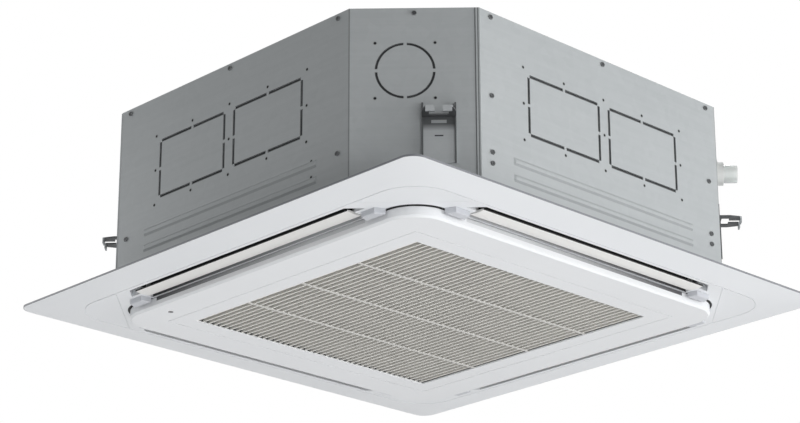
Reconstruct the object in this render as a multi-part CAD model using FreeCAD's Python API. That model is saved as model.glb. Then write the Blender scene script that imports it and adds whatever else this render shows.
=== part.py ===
import FreeCAD, Part
import math
import os

# Ceiling cassette air conditioner. Millimetres, +Z up. The origin is the centre of the ceiling
# opening, on the ceiling's underside: the casing stands above it and the panel hangs below it.
# South is -Y, east is +X. Pieces of a side are drawn on the south side and turned into place.

# Casing
casing_margin = 12.0
chamfer_leg = 140.0
body_height = 288.0
body_lift = 20.0
sheet = 1.2
sheet_flange = 60.0
seam_lip = 6.0
fit_gap = 0.3
overrun = 5.0

# Knock-outs, screws and beads of the side sheets, by their height above the ceiling
knockout_width = 161.0
knockout_height = 98.0
knockout_offset = 92.5
knockout_z = 177.0
slit = 3.2
slit_tie = 5.0
round_knockout_r = 44.0
round_knockout_z = 204.0
round_knockout_offset = -14.0
bead_length = 420.0
bead_height = 2.0
bead_width = 12.0
bead_top_width = 5.0
bead_levels = (48.0, 75.0)
screw_head_r = 4.0
screw_head = 2.6
screw_drop = 9.0
screw_end = 24.0
seam_screw_levels = (58.0, 76.0, 168.0)

# Hanger brackets
hanger_pitch_x = 787.0
hanger_pitch_y = 684.0
hanger_z = 129.0
hanger_width = 52.0
hanger_plate = 2.5
hanger_reach = 42.0
hanger_foot = 77.0
hanger_slot = 12.0
hanger_eye = 30.0
hanger_eye_start = 9.0
hanger_eye_end = 22.0
hanger_lip = 7.0
hanger_rise = 20.0
hanger_flange = 6.0
hanger_tip_width = 40.0

# Casing liner, top plate ribs and the coil
liner_wall = 10.0
liner_roof = 20.0
top_bead_width = 26.0
top_bead_height = 3.0
top_bead_start = 150.0
top_bead_end = 330.0
top_dish_r = 120.0
top_dish_height = 4.0
coil_gap = 14.0
coil_depth = 44.0
coil_corner_r = 150.0
coil_bottom = 56.0
coil_headroom = 36.0
coil_gap_half = 60.0
coil_plate = 2.0
tube_r = 5.0
tube_rows = 2
tube_levels = 4
tube_sides = 6
round_sides = 24
bend_reach = 14.0
header_r = 9.0
header_clear = 16.0

# Drain pan, bell mouth and control box
pan_height = 55.0
pan_trough_margin = 5.0
mouth_hole_gap = 14.0
mouth_throat_r = 166.0
mouth_wall = 2.5
mouth_seat = 26.0
mouth_lip = 70.0
mouth_curve_r = 56.0
mouth_steps = 3
mouth_sides = 48
box_length = 300.0
box_width = 62.0
box_height = 26.0
box_gap = 14.0
box_margin = 2.0
box_wall = 1.5
cover_plate = 1.2
board_plate = 1.6
board_standoff = 8.0
board_margin = 8.0
terminal_length = 70.0
terminal_width = 22.0
terminal_height = 10.0
terminal_ways = 6
terminal_slot = 7.0
terminal_slot_depth = 5.0

# Fan and motor
motor_r = 62.0
motor_height = 88.0
motor_edge = 8.0
motor_flange_r = 92.0
motor_flange = 4.0
motor_boss_r = 16.0
motor_boss = 6.0
mount_count = 3
mount_circle_r = 80.0
mount_r = 10.0
mount_height = 22.8
shaft_r = 5.0
shaft_gap = 0.05
shaft_end = 26.0
shaft_socket = 40.0
shroud_width = 62.0
fan_plate = 3.0
fan_dome_r = 74.0
fan_dome_foot_r = 112.0
fan_dome_height = 38.0
fan_motor_gap = 12.0
fan_hub_r = 15.0
fan_hub_height = 24.0
blade_count = 7
fan_sides = 28
blade_overhang = 46.0
blade_turn = 38.0
blade_bow_share = 0.16
blade_wall = 3.6
shroud_gap = 5.5
shroud_bottom = 84.0
shroud_rise = 34.0
shroud_lip = 8.0
nut_r = 8.0
nut_height = 7.0

# Drain pump, float switch, drain outlet and pipes
pump_inset = 39.0
pump_motor_r = 21.0
pump_motor_bottom = 130.0
pump_motor_top = 205.0
pump_stem_r = 11.0
pump_spread = 30.0
pump_arm = 8.0
float_stem_r = 2.5
float_r = 9.0
float_height = 14.0
float_seat_r = 5.0
float_seat = 2.0
drain_z = 213.0
drain_offset = -36.0
drain_collar_r = 25.0
drain_flange = 6.0
drain_collar = 17.0
drain_pipe_r = 16.0
drain_pipe_wall = 2.0
drain_pipe_reach = 40.0
pipe_plate_width = 150.0
pipe_plate_height = 90.0
pipe_plate_z = 205.0
pipe_hole_width = 120.0
pipe_hole_height = 70.0
pipe_spacing = 56.0
liquid_r = 4.76
gas_r = 7.94
pipe_wall = 1.0
pipe_reach = 62.0
nut_share = 1.75
nut_sides = 6
nut_length_share = 2.6
nut_setback = 8.0
grommet_r = 16.0
grommet_bore_r = 9.0
grommet_lip = 1.5
grommet_z = 118.0
grommet_inset = 21.0

# Panel frame
rim_width = 59.0
panel_corner_r = 25.0
rim_edge = 3.0
skin = 2.5
face_drop = 9.0
contour_margin = 8.0
contour_corner_r = 70.0
contour_groove = 1.6
slot_width = 48.0
slot_margin = 20.0
slot_end_margin = 102.0
intake_corner_r = 44.0
collar_top = 16.0
gasket_margin = 4.0
cover_plate_depth = 1.3
cover_setback = 24.0
cover_gap = 0.5
panel_screw_inset = 14.0
panel_screw_r = 3.0
panel_screw_head_r = 7.5
panel_screw_head = 4.0
panel_screw_hole_r = 3.4
panel_boss_r = 11.0

# Vanes and their motors
vane_gap = 9.0
vane_end_gap = 4.0
vane_wall = 3.6
vane_bow = 1.6
vane_bow_place_share = 0.5
pivot_inset = 5.0
pivot_z = 2.0
pivot_r = 3.0
pivot_gap = 0.05
arm_width = 6.0
arm_inset = 2.0
arm_r = 5.5
bearing_gap = 3.0
bearing_inset = 1.0
bearing_reach = 12.0
vane_motor_r = 8.5
vane_motor_length = 18.0
vane_motor_ear = 3.0
vane_motor_sides = 12
vane_motor_gap = 2.0
pivot_seat = 10.0

# Intake grille, filter, catches and hinge
grille_gap = 2.0
grille_corner_r = 58.0
grille_drop = 27.0
grille_edge = 3.5
grille_top = -10.5
groove_margin = 33.0
grille_groove = 1.5
grille_groove_depth = 0.8
field_margin = 94.0
louvre_pitch = 12.0
louvre_wall = 2.4
louvre_height = 9.0
louvre_lean = 5.5
rib_count = 3
rib_wall = 4.0
rib_depth = 1.2
tray_margin = 16.0
tray_top = -4.0
filter_frame = 14.0
filter_height = 6.0
filter_mesh = 1.2
filter_bars = 3
filter_bar = 5.0
hinge_inset = 2.0
hinge_z = -16.0
hinge_pin_r = 2.5
hinge_gap = 0.05
hinge_places = (-210.0, 210.0)
hinge_lug = 5.0
hinge_knuckle = 16.0
hinge_knuckle_r = 4.6
hinge_notch_gap = 1.5
catch_places = (-210.0, 210.0)
catch_width = 30.0
catch_length = 34.0
catch_height = 6.0
catch_step = 2.0
catch_post = 26.0
catch_window_gap = 1.5
receiver_inset = 9.0
receiver_margin = 60.0
receiver_r = 4.5
receiver_lip = 1.0

# Worked out from the sizes above, from the bell mouth outwards
root2 = math.sqrt(2)
mouth_hole_r = mouth_throat_r + mouth_curve_r + mouth_hole_gap
mouth_flange_r = mouth_hole_r + mouth_seat
mouth_bottom = body_lift + sheet - mouth_wall
shroud_inlet_r = mouth_throat_r + mouth_wall + shroud_gap
fan_r = shroud_inlet_r + shroud_width
blade_inner_r = shroud_inlet_r - blade_overhang
box_y = -(mouth_flange_r + box_gap + box_width / 2)
intake_half = mouth_flange_r + box_gap + box_width + box_margin
panel_screw_place = intake_half - panel_screw_inset
slot_inner = intake_half + slot_margin
slot_outer = slot_inner + slot_width
slot_half_length = slot_inner - slot_end_margin
coil_half = slot_inner - coil_gap
half = slot_outer + casing_margin
chamfer_dist = (2 * half - chamfer_leg) / root2
screw_reach = half - chamfer_leg - screw_end
grommet_offset = grommet_inset - screw_reach
pump_reach = chamfer_dist - pump_inset
body_top = body_lift + body_height
coil_top = body_top - coil_headroom
motor_top = body_top - sheet - mount_height
motor_bottom = motor_top - motor_height
fan_dome_z = motor_bottom - fan_motor_gap
fan_plate_z = fan_dome_z + fan_dome_height
fan_hub_bottom = fan_dome_z - fan_hub_height
shaft_bottom = fan_hub_bottom - shaft_end
pan_top = body_lift + pan_height
contour_half = slot_outer + contour_margin
panel_half = contour_half + rim_width
vane_inner = slot_inner + vane_gap
vane_outer = slot_outer - vane_gap
vane_half_length = slot_half_length - vane_end_gap
pivot_d = vane_inner + pivot_inset
bearing_start = vane_half_length + bearing_gap
bearing_inner = slot_inner + bearing_inset
bearing_outer = pivot_d + bearing_reach
bearing_bore_r = pivot_r + pivot_gap
grille_half = slot_inner - grille_gap
hinge_y = grille_half - hinge_inset
field_half = grille_half - field_margin
field_pitches = round(2 * field_half / louvre_pitch)
tray_half = field_half + tray_margin
grille_groove_half = field_half + groove_margin
receiver_x = receiver_inset - field_half
receiver_y = -field_half - receiver_margin


def vec(x, y, z):
    return FreeCAD.Vector(x, y, z)


def turned(shape, degrees):
    # A copy turned about the vertical axis
    copy = shape.copy()
    copy.rotate(vec(0, 0, 0), vec(0, 0, 1), degrees)
    return copy


def box(x0, x1, y0, y1, z0, z1):
    return Part.makeBox(x1 - x0, y1 - y0, z1 - z0, vec(x0, y0, z0))


def block(h, z0, z1):
    # Square block of half-width h, centred on the Z axis
    return box(-h, h, -h, h, z0, z1)


def rod(r, start, axis, length):
    return Part.makeCylinder(r, length, start, axis)


def polygon(points):
    return Part.Face(Part.makePolygon(points + points[:1]))


def plan_prism(points, z0, z1):
    face = polygon([vec(x, y, z0) for x, y in points])
    return face.extrude(vec(0, 0, z1 - z0))


def fuse(shapes):
    return shapes[0].multiFuse(shapes[1:]).removeSplitter()


def rounded_square(h, r, z):
    # Outline of a square of half-width h with corners of radius r, at height z
    edges = []
    bend = r * (1 - 1 / root2)
    flat = h - r
    for k in range(4):
        turn = FreeCAD.Rotation(vec(0, 0, 1), 90 * k)
        a, b = vec(-flat, -h, z), vec(flat, -h, z)
        middle, c = vec(h - bend, -h + bend, z), vec(h, -flat, z)
        a, b, middle, c = [turn.multVec(p) for p in (a, b, middle, c)]
        edges.append(Part.LineSegment(a, b).toShape())
        edges.append(Part.Arc(b, middle, c).toShape())
    return Part.Wire(edges)


def cut_square(h, leg, z):
    # Outline of a square of half-width h with its corners cut off, at height z
    flat = h - leg
    points = [(-flat, -h), (flat, -h), (h, -flat), (h, flat), (flat, h), (-flat, h), (-h, flat),
              (-h, -flat)]
    points = [vec(x, y, z) for x, y in points]
    return Part.makePolygon(points + points[:1])


def square_prism(h, r, z0, z1):
    return Part.Face(rounded_square(h, r, z0)).extrude(vec(0, 0, z1 - z0))


def octagon(inset):
    # Plan of the casing, moved in by inset all round
    h = half - inset
    flat = root2 * (chamfer_dist - inset) - h
    points = [(-flat, -h), (flat, -h), (h, -flat), (h, flat), (flat, h), (-flat, h), (-h, flat),
              (-h, -flat)]
    return points


def octagon_prism(inset, z0, z1):
    return plan_prism(octagon(inset), z0, z1)


def tube(r, start, end, sides):
    # Many-sided bar of radius r between two points
    along = end.sub(start).normalize()
    across = vec(0, 0, 1).cross(along) if abs(along.z) < along.Length / 2 else vec(1, 0, 0)
    up = along.cross(across)
    turns = [2 * math.pi * i / sides for i in range(sides)]
    section = [start.add(across * (r * math.cos(a))).add(up * (r * math.sin(a))) for a in turns]
    return polygon(section).extrude(end.sub(start))


def revolve(points, sides):
    # Solid of flat facets: (radius, height) points carried round the Z axis
    turns = [2 * math.pi * i / sides for i in range(sides)]
    rings = [[vec(r * math.cos(a), r * math.sin(a), z) for a in turns] for r, z in points]
    faces = []
    for (r0, z0), (r1, z1), low, high in zip(points, points[1:] + points[:1], rings, rings[1:] + rings[:1]):
        if r0 == 0 and r1 == 0:
            continue
        for i in range(sides):
            corners_at = [low[i], low[i - 1]] if r0 else [low[i]]
            corners_at += [high[i - 1], high[i]] if r1 else [high[i]]
            faces.append(polygon(corners_at))
    solid = Part.Solid(Part.Shell(faces))
    return solid if solid.Volume > 0 else solid.reversed()


def slot_prism(grow, z0, z1):
    # The south outlet: a trapezium with its ends square to the corner diagonals, grown by grow
    out, inn = slot_outer + grow, slot_inner - grow
    end = slot_half_length + grow * (root2 - 1)
    reach = end + out - inn
    return plan_prism([(-end, -out), (end, -out), (reach, -inn), (-reach, -inn)], z0, z1)


# Casing sheets

def sheet_sector(inset0, inset1, z0, z1):
    # Part of the casing's wall from the south-west seam to the end of the south-east corner face
    ring = octagon_prism(inset0, z0, z1).cut(octagon_prism(inset1, z0, z1))
    start, end = octagon(0)[0], octagon(0)[2]
    wedge = [(0, 0), (2 * start[0], 2 * start[1]), (2 * end[0], 2 * start[1]), (2 * end[0], 2 * end[1])]
    return ring.common(plan_prism(wedge, z0, z1))


def slit_cutters(x, z, width, height, y):
    # Eight slits along the sides of a rectangular knock-out, tied at corners and middles
    w, h = width / 2, height / 2
    cuts = []
    for sx in (-1, 1):
        for sz in (-1, 1):
            x0, x1 = sorted((x + sx * slit_tie / 2, x + sx * (w - slit_tie / 2)))
            cuts.append(box(x0, x1, y - overrun, y + overrun, z + sz * h - slit / 2, z + sz * h + slit / 2))
            z0, z1 = sorted((z + sz * slit_tie / 2, z + sz * (h - slit_tie / 2)))
            cuts.append(box(x + sx * w - slit / 2, x + sx * w + slit / 2, y - overrun, y + overrun, z0, z1))
    return cuts


def hole(x, z, r, y):
    return rod(r, vec(x, y - overrun, z), vec(0, 1, 0), 2 * overrun)


def side_screw_places(k):
    # Three along the top, and at each end one on the south and north sides, three on the east and west
    top = [(x, body_top - screw_drop) for x in (-screw_reach, 0, screw_reach)]
    levels = seam_screw_levels if k % 2 else seam_screw_levels[1:2]
    return top + [(s * screw_reach, z) for s in (-1, 1) for z in levels]


def round_slits(y):
    # Four arcs of a round knock-out, tied between them
    centre = vec(round_knockout_offset, y - overrun, round_knockout_z)
    outer = rod(round_knockout_r + slit / 2, centre, vec(0, 1, 0), 2 * overrun)
    ring = outer.cut(rod(round_knockout_r - slit / 2, centre, vec(0, 1, 0), 2 * overrun))
    x, z, tie = round_knockout_offset, round_knockout_z, slit_tie / 2
    reach = 2 * round_knockout_r
    ring = ring.cut(box(x - tie, x + tie, y - 2 * overrun, y + 2 * overrun, z - reach, z + reach))
    return ring.cut(box(x - reach, x + reach, y - 2 * overrun, y + 2 * overrun, z - tie, z + tie))


def bead(z):
    # A pressed stiffening bead, standing out from the south face
    low = polygon([vec(x, -half, z + s) for x, s in ((-bead_length / 2, -bead_width / 2),
                   (bead_length / 2, -bead_width / 2), (bead_length / 2, bead_width / 2),
                   (-bead_length / 2, bead_width / 2))])
    inset = (bead_width - bead_top_width) / 2
    reach = bead_length / 2 - inset
    high = polygon([vec(x, -half - bead_height, z + s) for x, s in ((-reach, -bead_top_width / 2),
                    (reach, -bead_top_width / 2), (reach, bead_top_width / 2), (-reach,
                                    bead_top_width / 2))])
    return Part.makeLoft([low.OuterWire, high.OuterWire], True, True)


def seam_fold(z0, z1):
    # Narrow fold of the sheet round its corner, lying on the next sheet's corner face
    (x, y), (far_x, far_y) = octagon(0)[0], octagon(-sheet)[0]
    along, out = seam_lip / root2, sheet / root2
    return plan_prism([(x, y), (x - along, y + along), (x - along - out, y + along - out), (far_x, far_y),
                       (x + 2 * sheet, y)], z0, z1)


def side_sheet(k):
    z0, z1 = body_lift, body_top - sheet
    wall = sheet_sector(0, sheet, z0, z1)
    flange = sheet_sector(0, sheet_flange, z0, z0 + sheet)
    slot = slot_prism(gasket_margin, z0 - overrun, z0 + overrun)
    flange = flange.cut([slot, turned(slot, 90)])
    solid = fuse([wall, flange, seam_fold(z0, z1)] + [bead(z) for z in bead_levels])
    cuts = []
    for s in (-1, 1):
        cuts += slit_cutters(s * knockout_offset, knockout_z, knockout_width, knockout_height, -half)
    cuts += [turned(cut, 45) for cut in chamfer_cuts(k)]
    cuts.append(panel_screw_cut(k))
    if k == 3:
        cuts.append(hole(grommet_offset, grommet_z, grommet_r, -half))
    return turned(solid.cut(cuts), 90 * k)


def chamfer_cuts(k):
    # Cuts of the corner face, drawn as on a south face at the corner's distance
    y = -chamfer_dist
    cuts = []
    if k in (0, 3):
        cuts += round_slits(y).Solids
    if k == 1:
        cuts.append(hole(drain_offset, drain_z, drain_pipe_r + fit_gap, y))
    if k == 2:
        cuts.append(box(-pipe_hole_width / 2, pipe_hole_width / 2, y - overrun, y + overrun,
                        pipe_plate_z - pipe_hole_height / 2, pipe_plate_z + pipe_hole_height / 2))
    return cuts


def panel_screw_cut(k):
    place = vec(panel_screw_place, -panel_screw_place, body_lift - overrun)
    return rod(panel_screw_hole_r, place, vec(0, 0, 1), 2 * overrun)


def top_plate():
    plate = octagon_prism(0, body_top - sheet, body_top)
    tray = octagon_prism(sheet + fit_gap, body_top - liner_roof, body_top - sheet)
    flange = tray.cut(octagon_prism(2 * sheet + fit_gap, body_top - liner_roof, body_top - sheet))
    dish = tube(top_dish_r, vec(0, 0, body_top), vec(0, 0, body_top + top_dish_height), round_sides)
    beads = []
    for k in range(4):
        w = top_bead_width / 2
        a, b = top_bead_start, top_bead_end
        low = [(a, 0), (a + w, -w), (b - w, -w), (b, 0), (b - w, w), (a + w, w)]
        rib = plan_prism(low, body_top, body_top + top_bead_height)
        beads += [turned(rib, 90 * k), turned(rib, 45 + 90 * k)]
    return fuse([plate, flange, dish] + beads)


def casing_screw(x, z, y):
    head = Part.Face(Part.makePolygon([vec(x + screw_head_r * math.cos(math.radians(60 * i)),
                    y - screw_head,
                     z + screw_head_r * math.sin(math.radians(60 * i))) for i in range(7)]))
    return head.extrude(vec(0, screw_head, 0))


def casing_screws():
    screws = []
    for k in range(4):
        screws += [turned(casing_screw(x, z, -half), 90 * k) for x, z in side_screw_places(k)]
        screws.append(turned(casing_screw(0, body_top - screw_drop, -chamfer_dist), 45 + 90 * k))
    return Part.makeCompound(screws)


# Hanger brackets

def hanger_offset(k):
    # How far the rod stands from the middle of its corner face
    offset = (hanger_pitch_x - hanger_pitch_y) / 2 / root2
    return offset if k % 2 == 0 else -offset


def hanger_bracket(k):
    # Upright foot on the corner face with folded edges, and a forked plate with a bent-down tip
    y, w = -chamfer_dist, hanger_width / 2
    top = hanger_z + hanger_rise
    foot = box(-w, w, y - hanger_plate, y, hanger_z - hanger_foot, hanger_z)
    rise = box(-w, -w + hanger_plate, y - hanger_plate * 2, y, hanger_z, top)
    rises = [rise, rise.mirror(vec(0, 0, 0), vec(1, 0, 0))]
    tip = hanger_tip_width / 2
    plate = plan_prism([(-w, y), (-w, y - hanger_eye_end), (-tip, y - hanger_reach),
                    (tip, y - hanger_reach),
                        (w, y - hanger_eye_end), (w, y)], hanger_z - hanger_plate, hanger_z)
    lip = box(-tip, tip, y - hanger_reach, y - hanger_reach + hanger_plate,
              hanger_z - hanger_plate - hanger_lip, hanger_z - hanger_plate)
    flange = box(-w, -w + hanger_plate, y - hanger_flange, y, hanger_z - hanger_foot, hanger_z)
    flanges = [flange, flange.mirror(vec(0, 0, 0), vec(1, 0, 0))]
    solid = fuse([foot, plate, lip] + rises + flanges)
    bottom, above = hanger_z - hanger_foot, hanger_z + overrun
    eye = box(-hanger_eye / 2, hanger_eye / 2, y - hanger_eye_end, y - hanger_eye_start,
              hanger_z - hanger_plate - overrun, above)
    slot = box(-hanger_slot / 2, hanger_slot / 2, y - hanger_reach - overrun, y - hanger_eye_start, bottom,
               above)
    solid = solid.cut([eye, slot])
    solid.translate(vec(hanger_offset(k), 0, 0))
    return turned(solid, 45 + 90 * k)


# Liner, coil and drain pan

def case_liner():
    z0, z1 = pan_top + fit_gap, body_top - sheet
    inset = 2 * sheet + 2 * fit_gap
    shell = octagon_prism(inset, z0, z1).cut(octagon_prism(inset + liner_wall, z0 - overrun,
                    z1 - liner_roof))
    cuts = [rod(motor_flange_r + overrun, vec(0, 0, z0), vec(0, 0, 1), z1 - z0)]
    wide = box(-pipe_hole_width / 2, pipe_hole_width / 2, -chamfer_dist, -chamfer_dist + 2 * liner_wall,
               pipe_plate_z - pipe_hole_height / 2, pipe_plate_z + pipe_hole_height / 2)
    cuts.append(turned(wide, 45 + 180))
    port = rod(drain_pipe_r + overrun, vec(drain_offset, -chamfer_dist, drain_z), vec(0, 1, 0),
               2 * liner_wall)
    cuts.append(turned(port, 45 + 90))
    return shell.cut(cuts)


def coil_ring(outer, inner, z0, z1):
    # The bent coil's plan, open at the north-west corner where its ends meet the headers
    out_r = coil_corner_r - (coil_half - outer)
    ring = square_prism(outer, out_r, z0, z1).cut(square_prism(inner, coil_corner_r - (coil_half - inner),
                    z0, z1))
    gap = box(-coil_gap_half, coil_gap_half, -2 * coil_half, 0, z0 - overrun, z1 + overrun)
    return ring.cut(turned(gap, 45 + 180))


def coil_fins():
    return coil_ring(coil_half, coil_half - coil_depth, coil_bottom, coil_top)


def coil_end_frame():
    # Ends of the coil in a frame turned so that the gap's middle line is -Y
    corner = coil_half - coil_corner_r
    centre = corner * root2
    outer = -centre - math.sqrt(coil_corner_r ** 2 - coil_gap_half ** 2)
    inner = -centre - math.sqrt((coil_corner_r - coil_depth) ** 2 - coil_gap_half ** 2)
    return outer, inner


def coil_end_plates():
    outer, inner = coil_end_frame()
    plates = []
    for s in (-1, 1):
        x0, x1 = sorted((s * coil_gap_half, s * (coil_gap_half - coil_plate)))
        plates.append(turned(box(x0, x1, outer, inner, coil_bottom, coil_top), 45 + 180))
    return Part.makeCompound(plates)


def hairpin(x, s, y0, y1, z):
    # A return bend: two short legs and a cross piece between tube rows
    bend_x = x + s * bend_reach
    legs = [tube(tube_r, vec(x, y, z), vec(bend_x, y, z), tube_sides) for y in (y0, y1)]
    cross = tube(tube_r, vec(bend_x, y0 - tube_r, z), vec(bend_x, y1 + tube_r, z), tube_sides)
    return fuse(legs + [cross])


def coil_tubes():
    # Return bends on one end plate, and two upright headers with feeders on the other
    outer, inner = coil_end_frame()
    depth = inner - outer
    rows = [outer + depth * (i + 1) / (tube_rows + 1) for i in range(tube_rows)]
    height = coil_top - coil_bottom
    levels = [coil_bottom + height * (i + 1) / (tube_levels + 1) for i in range(tube_levels)]
    x0 = coil_gap_half - coil_plate
    bends = [hairpin(-x0, 1, rows[0], rows[1], z) for z in levels]
    headers = []
    for y in rows:
        x = x0 - header_clear
        parts = [tube(header_r, vec(x, y, levels[0] - header_r), vec(x, y, levels[-1] + header_r),
                      tube_sides)]
        parts += [tube(tube_r, vec(x, y, z), vec(x0, y, z), tube_sides) for z in levels]
        headers.append(fuse(parts))
    return Part.makeCompound([turned(piece, 45 + 180) for piece in bends + headers])


def drain_pan():
    z0, z1 = body_lift + sheet, pan_top
    inset = 2 * sheet + 2 * fit_gap
    pan = octagon_prism(inset, z0, z1)
    cuts = [rod(mouth_hole_r, vec(0, 0, z0 - overrun), vec(0, 0, 1), pan_height + 2 * overrun)]
    outer, inner = coil_half + pan_trough_margin, coil_half - coil_depth - pan_trough_margin
    trough_r = coil_corner_r + pan_trough_margin
    trough = square_prism(outer, trough_r, coil_bottom - fit_gap, z1 + overrun)
    cuts.append(trough.cut(square_prism(inner, trough_r - (outer - inner), coil_bottom - overrun,
                    z1 + 2 * overrun)))
    cuts += [turned(slot_prism(0, z0 - overrun, z1 + overrun), 90 * k) for k in range(4)]
    cuts.append(box(-box_length / 2 - fit_gap, box_length / 2 + fit_gap, box_y - box_width / 2 - fit_gap,
                    box_y + box_width / 2 + fit_gap, z0 - overrun, body_lift + box_height + fit_gap))
    room = pump_stem_r + overrun
    sump = box(-room, pump_spread + room, -pump_reach - room, -pump_reach + room, coil_bottom - fit_gap,
               z1 + overrun)
    cuts.append(turned(sump, 45 + 90))
    return pan.cut(cuts)


# Bell mouth and control box

def mouth_curve(r, steps):
    # Quarter circle of the inlet, from the flange up to the throat
    centre_r, centre_z = mouth_throat_r + mouth_curve_r, mouth_bottom + mouth_curve_r
    angles = [math.pi / 2 * i / steps for i in range(steps + 1)]
    return [(centre_r - r * math.sin(a), centre_z - r * math.cos(a)) for a in angles]


def bell_mouth():
    # Flat flange, rounded inlet and a straight throat, turned from one wall profile
    z0 = mouth_bottom
    top = z0 + mouth_lip
    inner = mouth_curve(mouth_curve_r, mouth_steps)
    outer = mouth_curve(mouth_curve_r - mouth_wall, mouth_steps)[::-1]
    throat = [(mouth_throat_r, top), (mouth_throat_r + mouth_wall, top)]
    wall = [(mouth_flange_r, z0)] + inner + throat + outer + [(mouth_flange_r, z0 + mouth_wall)]
    return revolve(wall, mouth_sides)


def box_span(margin):
    return (-box_length / 2 + margin, box_length / 2 - margin, box_y - box_width / 2 + margin,
            box_y + box_width / 2 - margin)


def control_box():
    z1 = body_lift + box_height
    shell = box(*box_span(0), body_lift, z1).cut(box(*box_span(box_wall), body_lift - overrun,
                    z1 - box_wall))
    ear = box_span(0)
    ears = [box(ear[0], ear[1], y0, y1, body_lift - cover_plate, body_lift)
            for y0, y1 in ((ear[2], ear[2] + box_wall), (ear[3] - box_wall, ear[3]))]
    return fuse([shell] + ears)


def control_cover():
    x0, x1, y0, y1 = box_span(box_wall + fit_gap)
    plate = box(x0, x1, y0, y1, body_lift - cover_plate, body_lift)
    stiff = box(x0 + board_margin, x1 - board_margin, (y0 + y1) / 2 - box_wall, (y0 + y1) / 2 + box_wall,
                body_lift - 2 * cover_plate, body_lift - cover_plate)
    ends = [box(x, x + box_wall, y0, y1, body_lift, body_lift + board_margin) for x in (x0, x1 - box_wall)]
    return fuse([plate, stiff] + ends)


def board_top():
    return body_lift + box_height - box_wall - board_standoff


def control_board():
    x0, x1, y0, y1 = box_span(box_wall + board_margin)
    z1 = board_top()
    plate = box(x0, x1, y0, y1, z1 - board_plate, z1)
    posts = [tube(box_wall, vec(x, y, z1), vec(x, y, z1 + board_standoff), tube_sides)
             for x in (x0 + board_margin, x1 - board_margin) for y in (y0 + board_margin,
                             y1 - board_margin)]
    return fuse([plate] + posts)


def terminal_block():
    z1 = board_top() - board_plate
    x0 = -box_length / 2 + 2 * board_margin + box_wall
    y0 = box_y - terminal_width / 2
    block = box(x0, x0 + terminal_length, y0, y0 + terminal_width, z1 - terminal_height, z1)
    pitch = terminal_length / terminal_ways
    cuts = [box(x0 + pitch * (i + 1 / 2) - terminal_slot / 2, x0 + pitch * (i + 1 / 2) + terminal_slot / 2,
                y0 - overrun, y0 + terminal_width / 2,
                z1 - terminal_height - overrun, z1 - terminal_slot_depth)
            for i in range(terminal_ways)]
    return block.cut(cuts)


# Fan and motor

def fan_motor():
    can = revolve([(0, motor_bottom), (motor_r - motor_edge, motor_bottom),
                   (motor_r, motor_bottom + motor_edge),
                   (motor_r, motor_top), (0, motor_top)], round_sides)
    boss = tube(motor_boss_r, vec(0, 0, motor_bottom - motor_boss), vec(0, 0, motor_bottom), round_sides)
    ear = box(0, mount_circle_r + mount_r, -mount_r, mount_r, motor_top - motor_flange, motor_top)
    ears = [turned(ear, 360 * i / mount_count) for i in range(mount_count)]
    solid = fuse([can, boss] + ears)
    depth = motor_boss + shaft_socket
    return solid.cut(rod(shaft_r + shaft_gap, vec(0, 0, motor_bottom - motor_boss - overrun), vec(0, 0, 1),
                    depth + overrun))


def motor_mounts():
    top = body_top - sheet
    mount = tube(mount_r, vec(mount_circle_r, 0, motor_top), vec(mount_circle_r, 0, top), round_sides)
    return Part.makeCompound([turned(mount, 360 * i / mount_count) for i in range(mount_count)])


def motor_shaft():
    top = motor_bottom - motor_boss + shaft_socket
    return rod(shaft_r, vec(0, 0, shaft_bottom), vec(0, 0, 1), top - shaft_bottom)


def fan_blade():
    # Backward-curved blade: two arcs from the inner to the outer circle, blade_wall apart
    turn = math.radians(blade_turn)
    tip_r = fan_r - fan_plate
    a = vec(blade_inner_r, 0, shroud_bottom)
    b = vec(tip_r * math.cos(turn), -tip_r * math.sin(turn), shroud_bottom)
    along = b.sub(a)
    across = vec(-along.y, along.x, 0).normalize()
    bow = along.Length * blade_bow_share
    middle = a.add(b).multiply(1 / 2)
    near = middle.add(across * (bow - blade_wall / 2))
    far = middle.add(across * (bow + blade_wall / 2))
    shift = across * (blade_wall / 2)
    ends = [a.sub(shift), b.sub(shift), b.add(shift), a.add(shift)]
    wire = Part.Wire([Part.Arc(ends[0], near, ends[1]).toShape(), Part.LineSegment(ends[1], ends[2]).toShape(),
                      Part.Arc(ends[2], far, ends[3]).toShape(), Part.LineSegment(ends[3], ends[0]).toShape()])
    return Part.Face(wire).extrude(vec(0, 0, fan_plate_z + fan_plate - shroud_bottom))


def fan_shroud(drop):
    # Flared inlet ring below the blades; drop fills everything under it, to trim the blades
    z0, z1 = shroud_bottom, shroud_bottom + shroud_rise
    top = [(shroud_inlet_r, z0 + shroud_lip), (fan_r, z1)]
    if drop:
        return revolve([(0, z0 - overrun), (fan_r + overrun, z0 - overrun), (fan_r + overrun, z1),
                        (fan_r, z1),
                        (shroud_inlet_r, z0 + shroud_lip), (0, z0 + shroud_lip)], fan_sides)
    low = [(fan_r, z1 - fan_plate), (shroud_inlet_r + fan_plate, z0 + shroud_lip - fan_plate / 2),
           (shroud_inlet_r + fan_plate, z0), (shroud_inlet_r, z0)]
    return revolve(top + low, fan_sides)


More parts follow.
